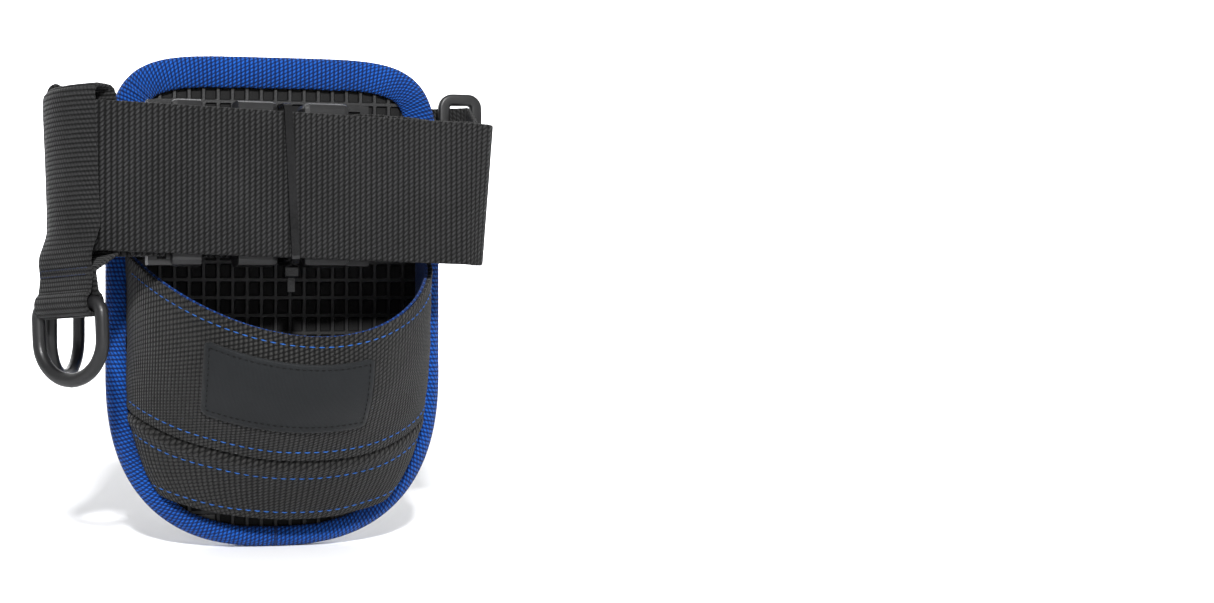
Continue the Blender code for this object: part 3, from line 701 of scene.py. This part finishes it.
def make_cup():
    """Two bands of cloth with a blue lining. The upper band laps over the lower at the seam."""

    def upper(t, degree):
        lip = 0.35 * math.exp(-((t - 0.12) / 0.16) ** 2)
        overlap = 0.5 * smooth_step(t, 3.55, 3.9)
        return ripple(t, degree, 0.5) + lip + overlap

    def lower(t, degree):
        tuck = -1.3 * (1 - smooth_step(t, SEAM_ROW + 0.02, SEAM_ROW + 0.16))
        roll = 0.9 * math.exp(-((t - SEAM_ROW - 0.24) / 0.13) ** 2)
        return ripple(t, degree, 0.45) + tuck + roll - 0.2

    wall = cup_sheet("cup_upper", steps(0, SEAM_ROW - 0.03, 56), upper, CUP_WALL, "cup",
                     ["pocket_upper_band"])
    band = cup_sheet("cup_lower", steps(SEAM_ROW + 0.02, 6, 36), lower, CUP_WALL, "cup_low",
                     ["pocket_lower_band"])

    def inside(t, degree):
        return -1.6 + 0.9 * (1 - smooth_step(t, -0.05, 0.12))

    lining = cup_sheet("cup_lining", steps(-0.06, 5.96, 48), inside, 0.9, "lining",
                       ["pocket_lining"], angle_step=3.0)

    make_cup_stitches(upper, lower)
    make_label(upper)
    make_drain()


def make_cup_stitches(upper, lower):
    rows = [
        ("stitches_lip", 0.46, 80, upper),
        ("stitches_upper", 3.70, 82, upper),
        ("stitches_lower", SEAM_ROW + 0.52, 82, lower),
        ("stitches_hem", 5.62, 80, lower),
    ]
    for name, t, reach, outset in rows:
        degrees = steps(-reach, reach, 90)
        points = [cup_point(t, math.radians(d), outset(t, d) + CUP_WALL / 2 + 0.05)
                  for d in degrees]
        outs = [cup_normal(t, math.radians(d)) for d in degrees]
        obj = stitch_row(name, points, outs, "thread_blue")


def make_label(wall_outset):
    """A woven patch with rounded corners, sewn on all round, left blank."""
    columns, rows, corner = 44, 26, 2.2
    low, high = LABEL_SPAN
    top, bottom = LABEL_ROWS
    width, height = LABEL_SIZE

    def on_wall(s, t):
        """Row and degree at the shares s across and t down the label."""
        return top + (bottom - top) * t, low + (high - low) * s

    def place(s, t, lift):
        row, degree = on_wall(s, t)
        outset = wall_outset(row, degree) + CUP_WALL / 2 + lift
        return cup_point(row, math.radians(degree), outset)

    def normal(s, t):
        row, degree = on_wall(s, t)
        return cup_normal(row, math.radians(degree))

    verts, uv = [], []
    for r in range(rows + 1):
        t = r / rows
        from_edge = min(t, 1 - t) * height
        cut = 0.0
        if from_edge < corner:
            cut = corner - math.sqrt(corner ** 2 - (corner - from_edge) ** 2)
        for c in range(columns + 1):
            s = c / columns
            s = cut / width + s * (1 - 2 * cut / width)
            verts.append(place(s, t, 0.5))
            uv.append((s * width, t * height))
    obj = make_piece("label_blank", verts, grid_faces(rows + 1, columns + 1), "label", uv,
                     nodes=["label_patch"])
    thicken(obj, 0.7, 0)

    edge = []
    inset_s, inset_t = 1.9 / width, 1.9 / height        # the seam's distance from the edge
    for s in steps(inset_s, 1 - inset_s, 30):
        edge.append((s, inset_t))
    for t in steps(inset_t, 1 - inset_t, 14)[1:]:
        edge.append((1 - inset_s, t))
    for s in steps(1 - inset_s, inset_s, 30)[1:]:
        edge.append((s, 1 - inset_t))
    for t in steps(1 - inset_t, inset_t, 14)[1:]:
        edge.append((inset_s, t))
    points = [place(s, t, 0.86) for s, t in edge]
    outs = [normal(s, t) for s, t in edge]
    seam = stitch_row("stitches_label", points, outs, "thread_black", pitch=2.2, length=1.5)


def make_drain():
    """Open net between the wall's lower edge and the pad."""
    angles = [math.radians(d) for d in steps(-NET_REACH, NET_REACH, 52)]
    shares = steps(0, 1, 5)
    verts = []
    for share in shares:
        for angle in angles:
            outer = cup_point(NET_ROW, angle, -1.9)
            inner = Vector((outer.x * 1.01, CUP_BASE_Y + 0.4, outer.z - 3.2 * math.cos(angle)))
            point = inner.lerp(outer, share)
            point.z -= 0.8 * math.sin(math.pi * share)
            verts.append(point)
    obj = make_piece("drain_net", verts, grid_faces(len(shares), len(angles)), "rubber",
                     nodes=["drain_mesh"])
    net = obj.modifiers.new("Net", "WIREFRAME")
    net.thickness = 0.95 * MM
    net.use_even_offset = False


# -------------------- belt

def bundle_xy(u, w):
    """x and y of a point of the folded bundle, u along it and w back from its front strand."""
    c, s = math.cos(BUNDLE_ANGLE), math.sin(BUNDLE_ANGLE)
    return BUNDLE_ORIGIN[0] + u * c - w * s, BUNDLE_ORIGIN[1] + u * s + w * c


def rounded_path(corners, degrees=6):
    """Rounds the corners of a polyline. Each corner is (x, y, height, radius); the height runs
    evenly from the middle of one bend to the middle of the next."""
    points, knots = [Vector(corners[0][:2])], [0]
    for before, corner, after in zip(corners, corners[1:], corners[2:]):
        at = Vector(corner[:2])
        to_before = (Vector(before[:2]) - at).normalized()
        to_after = (Vector(after[:2]) - at).normalized()
        opening = to_before.angle(to_after)
        centre = at + (to_before + to_after).normalized() * (corner[3] / math.sin(opening / 2))
        start = at + to_before * (corner[3] / math.tan(opening / 2)) - centre
        turn = math.copysign(math.pi - opening, start.cross(at - centre))
        count = 2 * max(1, round(abs(math.degrees(turn)) / degrees / 2))
        points += [centre + Matrix.Rotation(turn * i / count, 2) @ start for i in range(count + 1)]
        knots.append(len(points) - 1 - count // 2)
    points.append(Vector(corners[-1][:2]))
    knots.append(len(points) - 1)

    flat = lengths_along(points)
    heights = []
    k = 0
    for i, run in enumerate(flat):
        while k < len(knots) - 2 and flat[knots[k + 1]] < run:
            k += 1
        low, high = flat[knots[k]], flat[knots[k + 1]]
        share = (run - low) / (high - low)
        heights.append(corners[k][2] + (corners[k + 1][2] - corners[k][2]) * share)
    return [Vector((p.x, p.y, h)) for p, h in zip(points, heights)]


def belt_corners():
    """The belt's path as rounded_path takes it, from the fold at the right to the socket's
    loop."""
    back = BEHIND_BUCKLE
    loop_u = SOCKET_LEFT - 2.3
    return [
        (*bundle_xy(70.0, FOLD_W), 129.1, 0),
        (*bundle_xy(FOLD_U, FOLD_W), 129.0, 3.4),
        (*bundle_xy(FOLD_U, 0), 128.9, 3.4),
        (*bundle_xy(-93.3, 0), 133.6, 18.0),  # front left bend, under the front hanger
        (-74.5, -6.5, 139.5, 6.0),            # behind the rear hanger
        (BACK_RUN_LEFT, BACK_RUN_Y, BACK_RUN_Z, 5.0),     # through the left ring to the back
        (BACK_RUN_RIGHT, BACK_RUN_Y, BACK_RUN_Z, 5.0),    # through the right ring
        (74.0, -4.0, 139.4, 6.0),
        (*bundle_xy(FOLD_U, back), 131.6, 6.0),
        (*bundle_xy(-60.5, back), BUCKLE_Z, 2.1),
        (*bundle_xy(-60.5, STRAND_BACK), BUCKLE_Z, 2.1),
        (*bundle_xy(loop_u, STRAND_BACK), BUCKLE_Z, EYE_RADIUS),
        (*bundle_xy(loop_u, STRAND_FRONT), BUCKLE_Z, EYE_RADIUS),
        (*bundle_xy(loop_u - 11, STRAND_FRONT), BUCKLE_Z, 0),
    ]


def slant_fold(place, across):
    """The fold at the right was not made square: its lower end lies further in."""
    if place.y > -30 or place.x < 60:
        return place
    return place - Vector((0.17 * (25 - across) * 0.5 * smooth_step(place.x, 60, 75), 0, 0))


def belt_piece(name, corners, rests_on, **settings):
    """A length of the belt's webbing through corners, as rounded_path takes them."""
    path = resample(rounded_path(corners), RIB / 4)
    obj = strap(name, path, UP, BELT_WIDTH, WEBBING, "belt", RIB, **settings)
    lengths_along(path)[-1] * MM
    return obj


def make_belt():
    belt_piece("belt", belt_corners(), ["leather_back", "ring_left_smooth", "ring_right_smooth"],
               nodes=["belt_webbing"], shape=slant_fold)

    u = PLUG_RIGHT + EYE_OFFSET
    corners = [(*bundle_xy(u + 10.5, STRAND_FRONT), BUCKLE_Z, 0),
               (*bundle_xy(u, STRAND_FRONT), BUCKLE_Z, EYE_RADIUS),
               (*bundle_xy(u, STRAND_BACK), BUCKLE_Z, EYE_RADIUS),
               (*bundle_xy(u + 10.5, STRAND_BACK), BUCKLE_Z, 0)]
    belt_piece("belt_end", corners, ["buckle_plug"], body="buckle_plug",
               nodes=["belt_plug_loop"])

    # The run from the plug's loop to the right fold.
    anchor = (*bundle_xy(RETURN_END, FOLD_W), 129.2)
    corners = [(*bundle_xy(u + 10.9, STRAND_FRONT), 131.3, 0),
               (*bundle_xy(u + 20, STRAND_FRONT), 131.0, 8),
               (*bundle_xy(60, FOLD_W), 129.6, 8),
               (*anchor, 0)]
    run = belt_piece("belt_return", corners, ["belt"], shape=slant_fold)
    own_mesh(run)

    for name, x in (("stitches_back_left", -40.0), ("stitches_back_right", 40.0)):
        line = [Vector((x, ORIGIN.y + 0.05, z)) for z in steps(117.5, 163, 20)]
        thread = [p - Vector((1, 0, 0)) for p in line[::-1]] + [p + Vector((1, 0, 0)) for p in line]
        obj = stitch_row(name, thread, [Vector((0, 1, 0))] * len(thread), "thread_black",
                         pitch=2.6, length=1.7, radius=0.3)


# -------------------- rings and loops

def rounded_box(half_width, half_height, radius, count):
    """Points round a rounded rectangle, anticlockwise, with count steps at each corner."""
    points = []
    for quarter, (sx, sy) in enumerate(QUADRANTS):
        points += arc(sx * (half_width - radius), sy * (half_height - radius), radius,
                      QUARTER_TURN * quarter, QUARTER_TURN, count)
    return points


def make_strap_ring(name, at, heading, node, body):
    """A rectangular ring with softened edges."""
    half_bar = RING_BAR / 2
    section = rounded_box(half_bar, RING_THICKNESS / 2, RING_SOFTNESS, 4)
    loop = rounded_box(RING_WIDTH / 2 - half_bar, RING_HEIGHT / 2 - half_bar,
                       RING_CORNER - half_bar, 10)
    turn = Matrix.Rotation(math.radians(heading), 3, "Z")
    verts = []
    count = len(loop)
    for i, (x, z) in enumerate(loop):
        before, after = Vector(loop[i - 1]), Vector(loop[(i + 1) % count])
        way = (after - before).normalized()
        out = Vector((way.y, -way.x))
        for a, y in section:
            local = Vector((x + out.x * a, y, z + out.y * a))
            verts.append(Vector(at) + turn @ local)
    obj = make_piece(name, verts, grid_faces(count, len(section), wrap=True, close=True), "plastic",
                     body=body, nodes=[node])


def make_d_ring(name, origin, axes, node, body):
    """A D of round rod. origin is the middle of its bar; axes turns (along, out, up) to world."""
    half = D_INNER_WIDTH / 2 + D_WIRE
    tall = half * 0.86
    belly = D_HEIGHT - 2 * D_WIRE - tall
    right = [(0.0, 0.0)]
    right += arc(half - D_CORNER, -D_CORNER, D_CORNER, QUARTER_TURN, -QUARTER_TURN, 6)
    right += [(half * math.cos(a), -belly - tall * math.sin(a))
              for a in steps(0, QUARTER_TURN, 16)]
    path = [Vector((x, 0, z)) for x, z in right] + [Vector((-x, 0, z)) for x, z in right[-2::-1]]
    path = resample(path, 1.1)[:-1]
    verts = []
    sides, count = 16, len(path)
    side = Vector((0, 1, 0))
    for i, point in enumerate(path):
        way = (path[(i + 1) % count] - path[i - 1]).normalized()
        out = way.cross(side)
        for s in range(sides):
            a = 2 * math.pi * s / sides
            local = point + (out * math.cos(a) * 1.06 + side * math.sin(a) * 0.96) * D_WIRE
            verts.append(origin + axes @ local)
    obj = make_piece(name, verts, grid_faces(count, sides, wrap=True, close=True), "plastic",
                     body=body, nodes=[node])


def hanger_path(reach_out, reach_in, top, waist, eye_z):
    """Middle line of a loop's webbing as (out, up) points, closed, starting at the inner waist:
    up the inner leg, over the belt, down the outer leg, and round the D-ring's bar."""
    wall = HANGER_WEBBING
    half = (reach_out + reach_in) / 2 + wall / 2
    middle = (reach_out - reach_in) / 2
    radius = min(2.2, 0.9 * half) + wall / 2
    points = [(-wall / 2 - 0.15, waist - 2), (-wall / 2 - 0.3, waist)]
    points += [(middle - half, waist + 5.5), (middle - half, waist + 12)]
    bend_z = top + wall / 2 - radius
    points += arc(middle - half + radius, bend_z, radius, math.pi, -QUARTER_TURN, 6)
    points += arc(middle + half - radius, bend_z, radius, QUARTER_TURN, -QUARTER_TURN, 6)
    points += [(middle + half, waist + 12), (middle + half, waist + 5.5)]
    points += [(wall / 2 + 0.3, waist), (wall / 2 + 0.15, waist - 2)]
    start = math.radians(62)
    return points + arc(0, eye_z, HANGER_EYE + wall / 2, start, -math.pi - 2 * start, 14)


def make_hanger(label, at, outward, height, reach_out, reach_in, roll, bend):
    """A webbing loop over the belt with a D-ring in its eye. at, height and outward place it on
    the belt; reach_out and reach_in are how far its legs stand from there, and roll is its lean
    in degrees. bend is the radius of the belt's bend that it lies round, or None."""
    out = Vector((*outward, 0)).normalized()
    along = out.cross(UP)
    axes = Matrix((along, out, UP)).transposed() @ Matrix.Rotation(math.radians(roll), 3, "Y")
    origin = Vector((*at, height))
    half_belt = BELT_WIDTH / 2
    flat = hanger_path(reach_out, reach_in, half_belt + 0.7, WAIST_Z - height, D_BAR_Z - height)
    points = [Vector((0, y, z)) for y, z in flat]
    path = resample(points + points[:1], FINE_RIB / 3)[:-1]

    def shape(place, x):
        """place is in the loop's own axes. Bent round the belt, then turned into the world."""
        hold = smooth_step(place.z, -half_belt - 8, -half_belt + 6)
        if bend:
            place = place + Vector((0, -hold * (bend - math.sqrt(bend ** 2 - x ** 2)), 0))
            inner = smooth_step(-place.y, 5.0, 9.0) * hold
            place.y += inner * 3.4
        sway = 0.35 * noise.noise(Vector((place.x * 0.12, place.z * 0.07, 4.0 + reach_in)))
        place = place + Vector((0, sway, 0))
        return origin + axes @ place

    name = f"loop_{label}"
    obj = strap(name, path, Vector((1, 0, 0)), HANGER_WIDTH, HANGER_WEBBING, "hanger", FINE_RIB,
                nodes=[f"hanger_loop_{label}"], closed=True, shape=shape)
    lengths_along(path)[-1] * MM

    thread = []
    for z, way in ((WAIST_Z + 0.6, 1), (WAIST_Z - 1.6, -1)):
        thread += [origin + axes @ Vector((way * x, HANGER_WEBBING + 0.5, z - height))
                   for x in steps(-11.5, 11.5, 16)]
    outs = [axes @ Vector((0, 1, 0))] * len(thread)
    seam = stitch_row(f"stitches_{label}", thread, outs, "thread_grey", pitch=1.9, length=1.5,
                      radius=0.28)

    bar = origin + axes @ Vector((0, 0, D_BAR_Z - height))
    make_d_ring(f"d_ring_{label}_smooth", bar, axes, f"d_ring_{label}", f"d_ring_{label}")


# -------------------- hard parts kept from the solids

def paint_node(name, material):
    obj = bpy.data.objects[name]
    obj.data.materials.clear()
    obj.data.materials.append(MATERIALS[material])


def paint_kept_nodes():
    for name in ("buckle_socket", "buckle_plug", "plug_prong_upper", "plug_prong_lower"):
        paint_node(name, "plastic")
    for name in ("cable_tie_band", "cable_tie_head"):
        paint_node(name, "tie")
    paint_node("backing_board", "board")
    paint_node("foam_pad", "foam")


# -------------------- studio

def make_camera():
    """Level with the middle of the pad, a little to the left of square on."""
    azimuth, distance = math.radians(-10), 0.58
    target = Vector((0, -ORIGIN.y * MM, FLOOR_Z + PAD_HEIGHT / 2 * MM))
    back = Vector((math.sin(azimuth), -math.cos(azimuth), 0))
    data = bpy.data.cameras.new("camera")
    data.sensor_width = 36
    data.lens = 46
    data.shift_x = 0.274
    camera = bpy.data.objects.new("camera", data)
    bpy.context.scene.collection.objects.link(camera)
    camera.location = target + back * distance
    camera.rotation_mode = "QUATERNION"
    camera.rotation_quaternion = (-back).to_track_quat("-Z", "Y")
    bpy.context.scene.camera = camera


def area_light(name, at, aim, size, power):
    """A soft light. Both places are in metres from the floor under the pad."""
    data = bpy.data.lights.new(name, "AREA")
    data.shape = "RECTANGLE"
    data.size, data.size_y = size
    data.energy = power
    light = bpy.data.objects.new(name, data)
    bpy.context.scene.collection.objects.link(light)
    light.location = Vector(at) + Vector((0, 0, FLOOR_Z))
    light.rotation_mode = "QUATERNION"
    light.rotation_quaternion = (Vector(aim) - Vector(at)).to_track_quat("-Z", "Y")


def make_studio():
    """A pale floor that curves up into a wall, and soft light."""
    mesh = bpy.data.meshes.new("floor")
    reach, wall, rise, bend = 6.0, 5.0, 5.0, 1.5
    profile = [(-reach, 0.0)] + arc(wall - bend, bend, bend, -QUARTER_TURN, QUARTER_TURN, 12)
    profile.append((wall, rise))
    verts = [(x, y, z + FLOOR_Z) for y, z in profile for x in (-reach, reach)]
    mesh.from_pydata(verts, [], grid_faces(len(profile), 2))
    mesh.polygons.foreach_set("use_smooth", [True] * len(mesh.polygons))
    floor = bpy.data.objects.new("floor", mesh)
    bpy.context.scene.collection.objects.link(floor)
    nodes = Nodes("pale floor")
    pale = nodes.surface((0.91, 0.915, 0.93, 1), 0.95, **{"Specular IOR Level": 0.1})
    mesh.materials.append(pale)

    middle = (0, 0, 0.09)
    area_light("key", (-0.35, -2.2, 1.25), middle, (0.16, 0.16), 100)
    area_light("fill", (1.5, -1.2, 0.7), middle, (1.0, 1.2), 5)
    area_light("rim", (-1.0, 1.3, 1.2), middle, (1.0, 0.8), 5)
    area_light("backdrop", (0, 1.6, 2.6), (0, 5.0, 1.2), (5.0, 1.0), 420)

    world = bpy.data.worlds.new("studio")
    world.use_nodes = True
    background = world.node_tree.nodes["Background"]
    background.inputs["Color"].default_value = (1, 1, 1, 1)
    background.inputs["Strength"].default_value = 0.5
    bpy.context.scene.world = world
    bpy.context.scene.view_settings.view_transform = "Standard"


MATERIALS = make_materials()
make_camera()
make_binding()
make_mat()
make_back()
make_cup()
make_belt()
make_strap_ring("ring_left_smooth", (-67.5, 1.6, 139.9), 90, "ring_left", "ring_left")
make_strap_ring("ring_right_smooth", (72.0, 0.6, 139.9), 0, "ring_right", "ring_right")
make_hanger("front", (-79.9, -47.3), (-0.766, -0.643), 136.4, 0.8, 10.9, 3, 18.0)
make_hanger("rear", (-78.2, -16.2), (-0.935, 0.355), 139.6, 1.5, 2.0, 0, None)
paint_kept_nodes()
make_studio()
